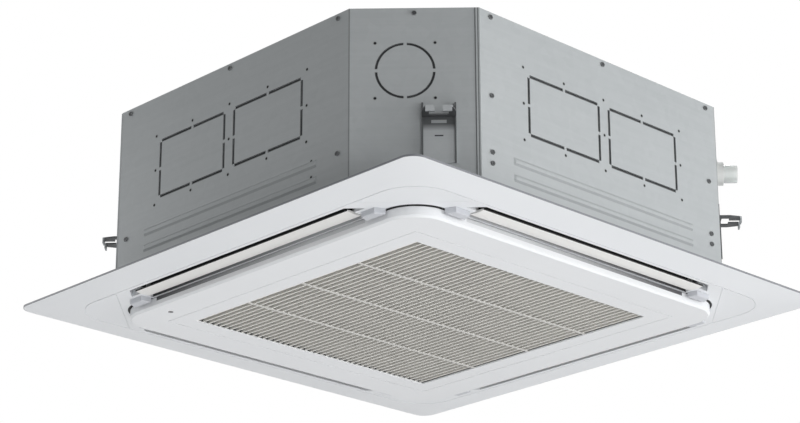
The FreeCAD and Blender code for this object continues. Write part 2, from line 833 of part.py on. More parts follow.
def turbo_fan():
    z = fan_plate_z
    t = fan_plate
    slope = t * root2 / 2
    hub = revolve([(0, fan_hub_bottom), (fan_hub_r, fan_hub_bottom), (fan_hub_r, fan_dome_z - t),
                   (fan_dome_r, fan_dome_z - t), (fan_dome_foot_r + slope, z), (fan_r, z), (fan_r, z + t),
                   (fan_dome_foot_r, z + t), (fan_dome_r - slope, fan_dome_z), (0, fan_dome_z)], fan_sides)
    hub = hub.cut(rod(shaft_r, vec(0, 0, fan_hub_bottom), vec(0, 0, 1), fan_dome_z - fan_hub_bottom))
    blade = fan_blade().cut(fan_shroud(True))
    blades = [turned(blade, 360 * i / blade_count) for i in range(blade_count)]
    return fuse([hub, fan_shroud(False)] + blades)


def fan_nut():
    points = [(nut_r * math.cos(math.radians(60 * i)),
               nut_r * math.sin(math.radians(60 * i))) for i in range(6)]
    nut = plan_prism(points, fan_hub_bottom - nut_height, fan_hub_bottom)
    return nut.cut(rod(shaft_r, vec(0, 0, fan_hub_bottom - nut_height), vec(0, 0, 1), nut_height))


# Drain pump, float switch and drain outlet, in the north-east corner

def to_drain_corner(shape):
    return turned(shape, 45 + 90)


def drain_pump():
    y = -pump_reach
    motor = tube(pump_motor_r, vec(0, y, pump_motor_bottom), vec(0, y, pump_motor_top), round_sides)
    stem = tube(pump_stem_r, vec(0, y, coil_bottom), vec(0, y, pump_motor_bottom), round_sides)
    arm = box(0, pump_spread + pump_arm, y - pump_arm / 2, y + pump_arm / 2, pump_motor_bottom - pump_arm,
              pump_motor_bottom)
    hang = box(-pump_arm, pump_arm, y - pump_arm / 2, y + pump_arm / 2, pump_motor_top,
               body_top - sheet - liner_roof)
    spout = tube(pump_stem_r, vec(0, y, drain_z), vec(drain_offset, y, drain_z), round_sides)
    solid = fuse([motor, stem, arm, hang, spout])
    return to_drain_corner(solid.cut(rod(float_stem_r, vec(pump_spread, y, coil_bottom), vec(0, 0, 1),
                    body_height)))


def float_place():
    return vec(pump_spread, -pump_reach, coil_bottom)


def float_switch():
    # Stem hanging from the pump's arm, with a seat that stops the float
    foot = float_place()
    stem = tube(float_stem_r, foot, foot.add(vec(0, 0, pump_motor_bottom - coil_bottom)), round_sides)
    seat = tube(float_seat_r, foot, foot.add(vec(0, 0, float_seat)), round_sides)
    return to_drain_corner(stem.fuse(seat))


def float_ring():
    place = float_place().add(vec(0, 0, float_seat + fit_gap))
    ring = tube(float_r, place, place.add(vec(0, 0, float_height)), round_sides)
    return to_drain_corner(ring.cut(rod(float_stem_r + fit_gap, place, vec(0, 0, 1), float_height)))


def drain_port():
    # Collar on the corner face, with the tube that takes the pump's spout
    y = -chamfer_dist
    start = vec(drain_offset, y, drain_z)
    flange = tube(drain_collar_r, start, start.sub(vec(0, drain_flange, 0)), round_sides)
    collar = tube(drain_pipe_r + 2 * drain_pipe_wall, start, start.sub(vec(0, drain_collar, 0)),
                  round_sides)
    neck = tube(drain_pipe_r, start, start.add(vec(0, 2 * liner_wall, 0)), round_sides)
    solid = fuse([flange, collar, neck])
    bore = tube(drain_pipe_r - drain_pipe_wall, start.sub(vec(0, drain_collar, 0)),
                start.add(vec(0, 2 * liner_wall, 0)),
                round_sides)
    return to_drain_corner(solid.cut(bore))


def drain_stub():
    start = vec(drain_offset, -chamfer_dist - drain_collar, drain_z)
    length = drain_pipe_reach - drain_collar
    stub = rod(drain_pipe_r, start, vec(0, -1, 0), length)
    return to_drain_corner(stub.cut(rod(drain_pipe_r - drain_pipe_wall, start, vec(0, -1, 0), length)))


# Pipes on the north-west corner face

def to_pipe_corner(shape):
    return turned(shape, 45 + 180)


def pipe_plate():
    y, w, h = -chamfer_dist, pipe_plate_width / 2, pipe_plate_height / 2
    plate = box(-w, w, y - sheet, y, pipe_plate_z - h, pipe_plate_z + h)
    cuts = [hole(x, pipe_plate_z, r + fit_gap, y) for x, r in pipe_places()]
    return to_pipe_corner(plate.cut(cuts))


def pipe_places():
    # The liquid line and the gas line, by their place across the plate and their radius
    return ((-pipe_spacing / 2, liquid_r), (pipe_spacing / 2, gas_r))


def pipes():
    length = pipe_reach + 2 * liner_wall
    stubs = []
    for x, r in pipe_places():
        start = vec(x, -chamfer_dist + 2 * liner_wall, pipe_plate_z)
        stubs.append(rod(r, start, vec(0, -1, 0), length).cut(rod(r - pipe_wall, start, vec(0, -1, 0),
                        length)))
    return to_pipe_corner(Part.makeCompound(stubs))


def flare_nuts():
    # Hexagonal nuts on the pipes' ends
    y = -chamfer_dist - pipe_reach + nut_setback
    nuts = []
    for x, r in pipe_places():
        length = r * nut_length_share
        nut = tube(r * nut_share, vec(x, y, pipe_plate_z), vec(x, y + length, pipe_plate_z), nut_sides)
        nuts.append(nut.cut(rod(r, vec(x, y, pipe_plate_z), vec(0, 1, 0), length)))
    return to_pipe_corner(Part.makeCompound(nuts))


def cable_grommet():
    # Rubber ring with a groove that holds the sheet's edge
    y = -half
    lip = grommet_lip
    outer = []
    for r, y0, y1 in ((grommet_r + lip, y - lip, y), (grommet_r, y, y + sheet),
                    (grommet_r + lip, y + sheet, y + sheet + lip)):
        outer.append(tube(r, vec(grommet_offset, y0, grommet_z), vec(grommet_offset, y1, grommet_z),
                        round_sides))
    bore = rod(grommet_bore_r, vec(grommet_offset, y - lip, grommet_z), vec(0, 1, 0), sheet + 2 * lip)
    return turned(fuse(outer).cut(bore), 270)


# Panel frame

def frame_skin():
    outer = Part.makeLoft([rounded_square(panel_half, panel_corner_r, -rim_edge),
                           rounded_square(contour_half, contour_corner_r, -face_drop)], True, True)
    rim = square_prism(panel_half, panel_corner_r, -rim_edge, 0)
    hollow = Part.makeLoft([cut_square(panel_half - rim_edge, panel_corner_r - rim_edge, 0),
                            cut_square(contour_half, contour_corner_r, skin - face_drop)], True, True)
    return fuse([outer, rim]).cut(hollow)


def cover_outline(gap, z0, z1):
    # The south-east corner's plan: contour corner cut off square to the diagonal
    block = square_prism(contour_half - contour_groove - gap, contour_corner_r - contour_groove - gap, z0,
                    z1)
    line = slot_end_distance() + cover_setback + gap
    keep = turned(box(-contour_half, contour_half, -2 * contour_half, -line, z0, z1), 45)
    return block.common(keep)


def slot_end_distance():
    # Distance of the slots' end walls from the centre, along the corner diagonal
    return (slot_half_length + slot_outer) / root2


def bearing_block(z0, z1):
    # End blocks of the south slot that carry the vane's pins
    reach = slot_half_length + slot_outer - bearing_inner + skin
    ends = slot_prism(skin, z0, z1)
    blocks = [box(bearing_start, reach, -bearing_outer, -bearing_inner, z0, z1),
              box(-reach, -bearing_start, -bearing_outer, -bearing_inner, z0, z1)]
    return [block.common(ends) for block in blocks]


def hinge_lugs():
    # Pairs of lugs below the frame's inner ring that hold the grille's hinge pins
    lugs = []
    for x in hinge_places:
        for s in (-1, 1):
            x0, x1 = sorted((x + s * (hinge_knuckle / 2 + fit_gap),
                            x + s * (hinge_knuckle / 2 + fit_gap + hinge_lug)))
            r = hinge_knuckle_r
            lugs.append(box(x0, x1, hinge_y - r, hinge_y + r, hinge_z, skin - face_drop).fuse(
                rod(r, vec(x0, hinge_y, hinge_z), vec(1, 0, 0), x1 - x0)))
    return lugs


def panel_frame():
    z0, z1 = -face_drop, skin - face_drop
    pieces = [frame_skin()]
    cuts = []
    for k in range(4):
        collar = slot_prism(skin, z0, collar_top).cut(slot_prism(0, z0 - overrun, collar_top + overrun))
        blocks = bearing_block(z0, collar_top)
        boss = rod(panel_boss_r, vec(panel_screw_place, -panel_screw_place, z1), vec(0, 0, 1),
                   collar_top - z1)
        pieces += [turned(piece, 90 * k) for piece in [collar, boss] + blocks]
        cut = [cover_outline(0, z0 - overrun, z0 + cover_plate_depth)]
        bore_end = slot_half_length + slot_outer - pivot_d + skin + vane_motor_length
        cut.append(rod(bearing_bore_r, vec(-bore_end, -pivot_d, pivot_z), vec(1, 0, 0), 2 * bore_end))
        cut.append(rod(panel_screw_hole_r, vec(panel_screw_place, -panel_screw_place, z0 - overrun),
                       vec(0, 0, 1),
                       collar_top - z0 + 2 * overrun))
        cuts += [turned(piece, 90 * k) for piece in cut]
    slots = [turned(slot_prism(0, z0 - overrun, z1 + overrun), 90 * k) for k in range(4)]
    opening = square_prism(intake_half, intake_corner_r, z0 - overrun, z1 + overrun)
    rim = square_prism(intake_half + skin, intake_corner_r + skin, z1, collar_top)
    pieces.append(rim.cut(square_prism(intake_half, intake_corner_r, z1 - overrun, collar_top + overrun)))
    pieces[0] = pieces[0].cut(slots + [opening])
    groove = square_prism(contour_half, contour_corner_r, z0 - overrun, z0 + contour_groove / 2)
    cuts.append(groove.cut(square_prism(contour_half - contour_groove, contour_corner_r - contour_groove,
                                        z0 - 2 * overrun, z0 + contour_groove)))
    frame = fuse(pieces + hinge_lugs())
    for x in hinge_places:
        span = hinge_knuckle / 2 + fit_gap + hinge_lug
        cuts.append(rod(hinge_pin_r, vec(x - span, hinge_y, hinge_z), vec(1, 0, 0), 2 * span))
    for x in catch_places:
        w = catch_width / 2 + catch_window_gap
        low = tray_top + fit_gap - catch_window_gap
        cuts.append(box(x - w, x + w, -intake_half - 2 * skin, -intake_half + skin, low,
                        low + catch_height + 2 * catch_window_gap))
    return frame.cut(cuts)


def panel_gasket():
    h = contour_half - gasket_margin
    pad = octagon_prism(half - h, collar_top, body_lift)
    pad = pad.cut(square_prism(intake_half, intake_corner_r, collar_top, body_lift))
    cuts = [turned(slot_prism(0, collar_top - overrun, body_lift + overrun), 90 * k) for k in range(4)]
    cuts += [turned(panel_screw_cut(0), 90 * k) for k in range(4)]
    return pad.cut(cuts)


def corner_cover(k):
    z0 = -face_drop
    plate = cover_outline(cover_gap, z0, z0 + cover_plate_depth)
    head = rod(panel_screw_head_r + cover_gap, vec(panel_screw_place, -panel_screw_place, z0 - overrun),
               vec(0, 0, 1), 2 * overrun)
    return turned(plate.cut(head), 90 * k)


def panel_screws():
    screws = []
    for k in range(4):
        place = vec(panel_screw_place, -panel_screw_place, -face_drop)
        head = tube(panel_screw_head_r, place.sub(vec(0, 0, panel_screw_head)), place, round_sides)
        length = face_drop + body_lift + sheet - fit_gap
        shank = tube(panel_screw_r, place, place.add(vec(0, 0, length)), tube_sides)
        screws.append(turned(head.fuse(shank), 90 * k))
    return Part.makeCompound(screws)


# Vanes

def vane(k):
    # Bowed blade with an arm and a pivot pin at each end
    z0 = -face_drop
    x = -vane_half_length
    mid = vane_inner + (vane_outer - vane_inner) * vane_bow_place_share
    a, b = vec(x, -vane_inner, z0), vec(x, -vane_outer, z0)
    c, d = vec(x, -vane_outer, z0 + vane_wall / 2), vec(x, -vane_inner, z0 + vane_wall)
    low, high = vec(x, -mid, z0 - vane_bow), vec(x, -mid, z0 + vane_wall - vane_bow / 2)
    wire = Part.Wire([Part.Arc(a, low, b).toShape(), Part.LineSegment(b, c).toShape(),
                      Part.Arc(c, high, d).toShape(), Part.LineSegment(d, a).toShape()])
    pieces = [Part.Face(wire).extrude(vec(2 * vane_half_length, 0, 0))]
    pin_end = vane_motor_start() + pivot_seat - fit_gap
    for s in (-1, 1):
        x0, x1 = sorted((s * (vane_half_length - arm_inset),
                        s * (vane_half_length - arm_inset - arm_width)))
        pieces.append(box(x0, x1, -pivot_d - arm_r, -vane_inner, z0 + vane_wall / 2, pivot_z + arm_r))
        outer = pin_end if s == 1 else bearing_start + pivot_seat
        pieces.append(rod(pivot_r, vec(s * (vane_half_length - arm_inset), -pivot_d, pivot_z), vec(s, 0, 0),
                          outer - vane_half_length + arm_inset))
    return turned(fuse(pieces), 90 * k)


def vane_motor_start():
    # Face of the motor that stands clear of the slot's sloping end wall
    return slot_half_length + slot_outer - pivot_d + vane_motor_r + skin * root2 + vane_motor_gap


def vane_motors():
    # Small geared stepping motors beside the slots' ends, with their sockets on the vanes' pins
    x0 = vane_motor_start()
    can = tube(vane_motor_r, vec(x0, -pivot_d, pivot_z), vec(x0 + vane_motor_length, -pivot_d, pivot_z),
               vane_motor_sides)
    foot = box(x0, x0 + vane_motor_ear, -pivot_d - vane_motor_r, -pivot_d + vane_motor_r, skin - face_drop,
               pivot_z)
    solid = fuse([can, foot])
    socket = rod(bearing_bore_r, vec(x0, -pivot_d, pivot_z), vec(1, 0, 0), pivot_seat)
    motor = solid.cut(socket)
    return Part.makeCompound([turned(motor, 90 * k) for k in range(4)])


# Intake grille

def louvre(y):
    # A leaning slat of the grille, from one side of the field to the other
    z0, z1 = rib_depth - grille_drop, louvre_height - grille_drop
    w = louvre_wall / 2
    reach = field_half + overrun
    face = polygon([vec(-reach, y - w, z0), vec(-reach, y + w, z0), vec(-reach, y + w + louvre_lean, z1),
                    vec(-reach, y - w + louvre_lean, z1)])
    return face.extrude(vec(2 * reach, 0, 0))


def grille_tray():
    # Rounded shell with its face below and its skirt up to the frame
    shell = square_prism(grille_half, grille_corner_r, -grille_drop, grille_top)
    rim = [e for e in shell.Edges if abs(e.CenterOfMass.z + grille_drop) < grille_edge / 2]
    shell = shell.makeChamfer(grille_edge, rim)
    hollow = square_prism(grille_half - skin, grille_corner_r - skin, skin - grille_drop,
                    grille_top + overrun)
    field = block(field_half, -grille_drop - overrun, overrun)
    groove = block(grille_groove_half, -grille_drop - overrun, grille_groove_depth - grille_drop)
    groove = groove.cut(block(grille_groove_half - grille_groove, -grille_drop - 2 * overrun,
                    overrun - grille_drop))
    return shell.cut([hollow, field, groove])


def grille_knuckles():
    # Barrels that turn on the frame's hinge pins, each on a web from the grille's face
    pieces = []
    for x in hinge_places:
        w = hinge_knuckle / 2
        pieces.append(rod(hinge_knuckle_r, vec(x - w, hinge_y, hinge_z), vec(1, 0, 0), 2 * w))
        pieces.append(box(x - w, x + w, hinge_y - hinge_knuckle_r, hinge_y, -grille_drop + skin / 2,
                        hinge_z))
    return pieces


def catch_posts():
    # Shelves on posts that carry the two sliding catches
    y0 = -intake_half + skin
    pieces = []
    for x in catch_places:
        w = catch_width / 2
        pieces.append(box(x - w, x + w, y0, y0 + catch_post, tray_top - skin, tray_top))
        pieces.append(box(x - w, x + w, y0 + catch_post / 2, y0 + catch_post / 2 + skin,
                        -grille_drop + skin / 2, tray_top))
        for s in (-1, 1):
            a, b = sorted((x + s * (w + fit_gap), x + s * (w + fit_gap + skin)))
            pieces.append(box(a, b, y0, y0 + catch_post, tray_top - skin, tray_top + catch_height / 2))
            a, b = sorted((x + s * w, x + s * (w + fit_gap + skin)))
            pieces.append(box(a, b, y0, y0 + catch_post, tray_top - skin, tray_top))
    return pieces


def intake_grille():
    pitch = 2 * field_half / field_pitches
    slats = [louvre(-field_half + pitch * (i + 1 / 2) - louvre_lean / 2) for i in range(field_pitches)]
    ribs = []
    for i in range(rib_count):
        x = 2 * field_half * (i + 1) / (rib_count + 1) - field_half
        ribs.append(box(x - rib_wall / 2, x + rib_wall / 2, -field_half - overrun, field_half + overrun,
                        -grille_drop, rib_depth - grille_drop))
    wall = block(tray_half + skin, skin / 2 - grille_drop, tray_top)
    wall = wall.cut(block(tray_half, -grille_drop - overrun, tray_top + overrun))
    inside = box(-field_half - skin, field_half + skin, -field_half - skin, field_half + skin,
                 -grille_drop, 0)
    slats = [slat.common(inside) for slat in slats]
    ribs = [rib.common(inside) for rib in ribs]
    notches = []
    for x in hinge_places:
        w = hinge_knuckle / 2 + fit_gap + hinge_lug + hinge_notch_gap
        r = hinge_knuckle_r + hinge_notch_gap
        notches.append(box(x - w, x + w, hinge_y - r, grille_half + overrun, hinge_z - r,
                        grille_top + overrun))
    tray = grille_tray().cut(notches)
    solid = fuse([tray, wall] + slats + ribs + grille_knuckles() + catch_posts())
    cuts = [rod(receiver_r, vec(receiver_x, receiver_y, -grille_drop - overrun), vec(0, 0, 1), 2 * overrun)]
    cuts += [rod(hinge_pin_r + hinge_gap, vec(x - hinge_knuckle, hinge_y, hinge_z), vec(1, 0, 0),
                 2 * hinge_knuckle)
             for x in hinge_places]
    return solid.cut(cuts)


def filter_bottom():
    return louvre_height - grille_drop


def air_filter():
    # Framed mesh lying on the louvres inside the tray walls
    h = tray_half - fit_gap
    z0 = filter_bottom()
    ring = block(h, z0, z0 + filter_height).cut(block(h - filter_frame, z0 - overrun,
                    z0 + filter_height + overrun))
    mesh = box(-h + filter_frame, h - filter_frame, -h + filter_frame, h - filter_frame, z0,
               z0 + filter_mesh)
    bars = []
    for i in range(filter_bars):
        x = 2 * h * (i + 1) / (filter_bars + 1) - h
        bars.append(box(x - filter_bar / 2, x + filter_bar / 2, -h + filter_frame, h - filter_frame, z0,
                        z0 + filter_height))
        bars.append(turned(bars[-1], 90))
    return fuse([ring, mesh] + bars)


def receiver_window():
    # Domed dark lens set in the grille's face, on a lip inside it
    z0 = -grille_drop
    place = vec(receiver_x, receiver_y, z0)
    back = place.add(vec(0, 0, skin))
    lens = tube(receiver_r - fit_gap / 2, place, back, round_sides)
    lip = tube(receiver_r + receiver_lip, back, back.add(vec(0, 0, receiver_lip)), round_sides)
    return lens.fuse(lip)


def hinge_pins():
    span = hinge_knuckle / 2 + fit_gap + hinge_lug
    return Part.makeCompound([rod(hinge_pin_r, vec(x - span, hinge_y, hinge_z), vec(1, 0, 0), 2 * span)
                              for x in hinge_places])


def grille_catch(x):
    # Sliding tongue with a chamfered nose and a finger step, drawn back so that the grille swings free
    y0 = -intake_half + fit_gap * 2
    w, z = catch_width / 2, tray_top
    tongue = polygon([vec(x - w, y0, z), vec(x - w, y0 + catch_length, z),
                    vec(x - w, y0 + catch_length, z + catch_height),
                      vec(x - w, y0 + catch_step, z + catch_height), vec(x - w, y0,
                                      z + catch_height - catch_step)])
    tongue = tongue.extrude(vec(2 * w, 0, 0))
    grip = box(x - w, x + w, y0 + catch_length - catch_step, y0 + catch_length, z + catch_height,
               z + catch_height + catch_step)
    return tongue.fuse(grip)


sides = ("south", "east", "north", "west")
corners = ("se", "ne", "nw", "sw")
nodes = {
    "top_plate": top_plate(), "casing_screws": casing_screws(), "case_liner": case_liner(),
    "coil_fins": coil_fins(), "coil_end_plates": coil_end_plates(), "coil_tubes": coil_tubes(),
    "drain_pan": drain_pan(), "bell_mouth": bell_mouth(), "control_box": control_box(),
    "control_cover": control_cover(), "control_board": control_board(), "terminal_block": terminal_block(),
    "fan_motor": fan_motor(), "motor_mounts": motor_mounts(), "motor_shaft": motor_shaft(),
    "turbo_fan": turbo_fan(), "fan_nut": fan_nut(), "drain_pump": drain_pump(),
    "float_switch": float_switch(), "float": float_ring(), "drain_port": drain_port(),
    "drain_stub": drain_stub(), "pipe_plate": pipe_plate(), "refrigerant_pipes": pipes(),
    "flare_nuts": flare_nuts(), "cable_grommet": cable_grommet(), "vane_motors": vane_motors(),
    "panel_frame": panel_frame(), "panel_gasket": panel_gasket(),
    "panel_screws": panel_screws(), "intake_grille": intake_grille(), "air_filter": air_filter(),
    "receiver_window": receiver_window(), "hinge_pins": hinge_pins(),
    "grille_catch_west": grille_catch(catch_places[0]), "grille_catch_east": grille_catch(catch_places[1]),
}
for k in range(4):
    nodes["side_sheet_" + sides[k]] = side_sheet(k)
    nodes["hanger_bracket_" + corners[k]] = hanger_bracket(k)
    nodes["corner_cover_" + corners[k]] = corner_cover(k)
    nodes["vane_" + sides[k]] = vane(k)

os.makedirs("parts", exist_ok=True)
for name, shape in nodes.items():
    shape.exportStep("parts/" + name + ".step")
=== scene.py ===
import math
import bpy
import numpy as np
from mathutils import Matrix, Vector


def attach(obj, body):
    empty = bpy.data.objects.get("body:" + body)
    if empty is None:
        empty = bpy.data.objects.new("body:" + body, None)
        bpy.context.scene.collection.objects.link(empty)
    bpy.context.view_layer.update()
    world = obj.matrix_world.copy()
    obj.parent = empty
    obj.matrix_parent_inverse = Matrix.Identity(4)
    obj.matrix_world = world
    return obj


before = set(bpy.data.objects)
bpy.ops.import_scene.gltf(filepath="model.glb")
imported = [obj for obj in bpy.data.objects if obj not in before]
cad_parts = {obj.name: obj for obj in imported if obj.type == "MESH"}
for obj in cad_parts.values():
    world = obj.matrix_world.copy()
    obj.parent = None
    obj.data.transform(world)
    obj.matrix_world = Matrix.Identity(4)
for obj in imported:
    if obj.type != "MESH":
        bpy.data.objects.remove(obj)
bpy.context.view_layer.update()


# Casing: four folded sheets of hot-dip galvanised steel and a ribbed top plate, screwed together.
# The zinc sets in flat crystals, and rolling leaves faint level streaks along each sheet.

class Socket:
    """A shader socket that takes part in sums: each operator adds one Math node to its tree."""

    def __init__(self, tree, link=None):
        self.tree, self.link = tree, link

    def node(self, kind, settings, inputs, out=0):
        """Adds any node: its settings first, then the value or link of each socket."""
        node = self.tree.nodes.new("ShaderNode" + kind)
        for key, value in settings.items():
            if key == "stops":
                ramp = node.color_ramp.elements
                for place, level in value[2:]:
                    ramp.new(place)
                for stop, (place, level) in zip(ramp, sorted(value)):
                    stop.position, stop.color = place, (level, level, level, 1)
            else:
                setattr(node, key, value)
        for key, value in inputs.items():
            if isinstance(value, Socket):
                self.tree.links.new(value.link, node.inputs[key])
            else:
                node.inputs[key].default_value = value
        return Socket(self.tree, node.outputs[out] if len(node.outputs) else None)

    def maths(self, operation, first, second=0.0):
        return self.node("Math", {"operation": operation}, {0: first, 1: second})

    def __add__(self, other):
        return self.maths("ADD", self, other)

    __radd__ = __add__

    def __sub__(self, other):
        return self.maths("SUBTRACT", self, other)

    def __rsub__(self, other):
        return self.maths("SUBTRACT", other, self)

    def __mul__(self, other):
        return self.maths("MULTIPLY", self, other)

    __rmul__ = __mul__

    def __truediv__(self, other):
        return self.maths("DIVIDE", self, other)

    def __abs__(self):
        return self.maths("ABSOLUTE", self)

    def __lt__(self, other):
        return self.maths("LESS_THAN", self, other)

    def __gt__(self, other):
        return self.maths("GREATER_THAN", self, other)

    def root(self):
        return self.maths("SQRT", self)

    def mod(self, step):
        return self.maths("FLOORED_MODULO", self, step)

    def both(self, other):
        return self.maths("MINIMUM", self, other)

    def either(self, other):
        return self.maths("MAXIMUM", self, other)

    def mix(self, first, second):
        """Colour that goes from first to second as this socket goes from 0 to 1."""
        return self.node("Mix", {"data_type": "RGBA"}, {0: self, 6: first, 7: second}, 2)


def start(name):
    """A new material's tree, the Object coordinate, and that coordinate's three numbers."""
    material = bpy.data.materials.new(name)
    material.use_nodes = True
    material.node_tree.nodes.clear()
    tree = Socket(material.node_tree)
    place = tree.node("TexCoord", {}, {}, "Object")
    split = [tree.node("SeparateXYZ", {}, {0: place}, axis) for axis in "XYZ"]
    return material, tree, place, split


def noise(tree, place, scale, detail=3.0, stretch=(1, 1, 1)):
    """Cloudy noise around 0.5; stretch draws it out along an axis."""
    spread = tree.node("Mapping", {}, {"Vector": place, "Scale": stretch})
    return tree.node("TexNoise", {}, {"Vector": spread, "Scale": scale, "Detail": detail}, 0)


def close(tree, colour, rough, height, depth, constants):
    """Ends a material: a Principled surface with a bump of that depth, and constants on its own sockets."""
    inputs = {"Base Color": colour, "Roughness": rough}
    inputs.update(constants)
    if height is not None:
        inputs["Normal"] = tree.node("Bump", {}, {"Strength": 1.0, "Distance": depth, "Height": height})
    tree.node("OutputMaterial", {}, {"Surface": tree.node("BsdfPrincipled", {}, inputs)})


def rgb(r, g, b):
    return (r, g, b, 1.0)


def painted_sheet_shade(x, y, z):
    """Painted shade on the beads' lower flanks, round the knock-outs' slits, and along each corner face's lock seam
    and fold.
    """
    far, near = abs(x).either(abs(y)), abs(x).both(abs(y))
    side_face, side_end = 0.4194, 0.2085
    on_side = (far > side_face).both(near < side_end)

    # Painted shade on each bead's lower flank, which faces down.
    bead_levels, bead_half, bead_flank, bead_shade = (0.048, 0.075), 0.0064, 0.0036, 0.32
    marks = 0.0
    for level in bead_levels:
        flank = (z > level - bead_half).both(z < level - bead_half + bead_flank)
        marks = (flank.both(on_side) * bead_shade).either(marks)

    # Painted shade round the knock-outs' slits and the round knock-out's ring, for the shade in the cuts.
    middle, centre, half_width, half_height = 0.0925, 0.177, 0.0805, 0.049
    tie, slit_shade_half, slit_shade = 0.0025, 0.0027, 0.88
    across, up = abs(near - middle), abs(z - centre)
    level_slits = (abs(up - half_height) < slit_shade_half).both(across > tie).both(across < half_width - tie)
    upright_slits = (abs(across - half_width) < slit_shade_half).both(up > tie).both(up < half_height - tie)
    marks = marks.either(level_slits.either(upright_slits).both(on_side) * slit_shade)

    # Painted shade in the lock seam's creases and along each corner face's fold.
    corner_face, seam, seam_half, lip, seam_shade = 0.4942, 0.0946, 0.0030, 0.0018, 0.7
    fold_start, fold_shade, diagonal = -0.0976, 0.55, 0.7071
    ring_turns, ring_middle, ring_centre, ring_radius, ring_half = (0, 3), -0.014, 0.204, 0.044, 0.0020
    out, along = (x - y) * diagonal, (x + y) * diagonal
    for turn in range(4):
        off = abs(along - seam)
        seam_shade_lines = (off < seam_half).both(off > seam_half - lip) * seam_shade
        on_corner = seam_shade_lines.either((along < fold_start) * fold_shade)
        if turn in ring_turns:
            across, up = abs(along - ring_middle), abs(z - ring_centre)
            band = abs((across * across + up * up).root() - ring_radius) < ring_half
            on_corner = on_corner.either(band.both(across > tie).both(up > tie) * slit_shade)
        marks = (out > corner_face).both(on_corner).either(marks)
        out, along = along, 0.0 - out
    return marks


def galvanised(name, dark, light, metallic, painted_shade):
    """Zinc crystals from a cell pattern, level rolling streaks and slow clouds of oxide, under the painted shade that
    the given mask sets.
    """
    material, tree, place, (x, y, z) = start(name)
    crystal = tree.node("TexVoronoi", {}, {"Vector": place, "Scale": 75.0}, "Color")
    crystal = tree.node("SeparateColor", {}, {0: crystal}, 0)
    clouds = noise(tree, place, 3.2)
    streaks = noise(tree, place, 6.0, 4.0, (1, 1, 30))
    tone = crystal * 0.16 + clouds * 0.44 + streaks * 0.40
    # The mask's painted shade goes over the zinc tone as a near-black colour.
    colour = painted_shade(x, y, z).mix(tone.mix(dark, light), rgb(0.05, 0.053, 0.056))
    rough = 0.40 + crystal * 0.08 + clouds * 0.10
    fine = noise(tree, place, 420.0, 2.0)
    close(tree, colour, rough, fine * 0.5 + crystal * 0.4, 0.00004, {"Metallic": metallic, "Specular IOR Level": 0.3})
    return material


def dress(material, *names):
    """Puts a material on CAD nodes through their own material slots."""
    for name in names:
        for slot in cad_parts[name].material_slots:
            slot.material = material


sides = ("south", "east", "north", "west")
corners = ("se", "ne", "nw", "sw")
sheet_finish = galvanised("galvanised_sheet", rgb(0.395, 0.42, 0.43), rgb(0.515, 0.54, 0.55), 0.05, painted_sheet_shade)
dress(sheet_finish, "top_plate", "pipe_plate", "control_box", "control_cover", "coil_end_plates")
dress(sheet_finish, *["side_sheet_" + side for side in sides])


# Pilot holes round the duct knock-outs: small punched holes with a rolled rim, in rows on each side
# sheet and four round each round knock-out. They open on the dark lining behind the sheet.

def put(name, points, faces, material, body):
    """A new piece from arrays of points and faces, with its place in its mesh, riding on a body."""
    mesh = bpy.data.meshes.new(name)
    mesh.from_pydata(points.reshape(-1, 3).tolist(), [], [list(map(int, face)) for face in faces])
    mesh.materials.append(material)
    mesh.update()
    piece = bpy.data.objects.new(name, mesh)
    bpy.context.scene.collection.objects.link(piece)
    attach(piece, body)
    return piece


def grid_faces(rows, columns):
    """Four-sided faces of a grid whose columns close into a ring; rows run outwards."""
    row, column = np.meshgrid(np.arange(rows - 1), np.arange(columns), indexing="ij")
    after = (column + 1) % columns
    low, high = row * columns, (row + 1) * columns
    faces = np.stack([low + column, low + after, high + after, high + column], -1)
    return faces.reshape(-1, 4)


def turned(profile, count):
    """Rings of points: each (radius, height) of the profile goes once round the Z axis in count steps."""
    angle = np.arange(count) * 2 * math.pi / count
    radius, height = profile[:, 0][:, None], profile[:, 1][:, None]
    return np.stack([radius * np.cos(angle), radius * np.sin(angle), height + 0 * angle], -1)


def studs(profile, count, places, facings):
    """Copies of a turned form, one at each place, with its axis along that place's facing."""
    form = turned(profile, count)
    facings = np.asarray(facings, float)
    across = np.stack([-facings[:, 1], facings[:, 0], 0 * facings[:, 0]], -1)
    up = np.cross(facings, across)
    axes = np.stack([across, up, facings], 1)
    points = np.einsum("rck,nkj->nrcj", form, axes) + np.asarray(places, float)[:, None, None, :]
    size = form.shape[0] * form.shape[1]
    faces = grid_faces(form.shape[0], count)[None] + (np.arange(len(places)) * size)[:, None, None]
    return points, faces.reshape(-1, 4)


def around(places):
    """Places on the south face, repeated on the four sides by quarter turns, with their outward facings."""
    points, facings = [], []
    for quarter in range(4):
        c, s = round(math.cos(quarter * math.pi / 2)), round(math.sin(quarter * math.pi / 2))
        for x, y, z in places:
            points.append((x * c - y * s, x * s + y * c, z))
            facings.append((s, -c, 0))
    return points, facings


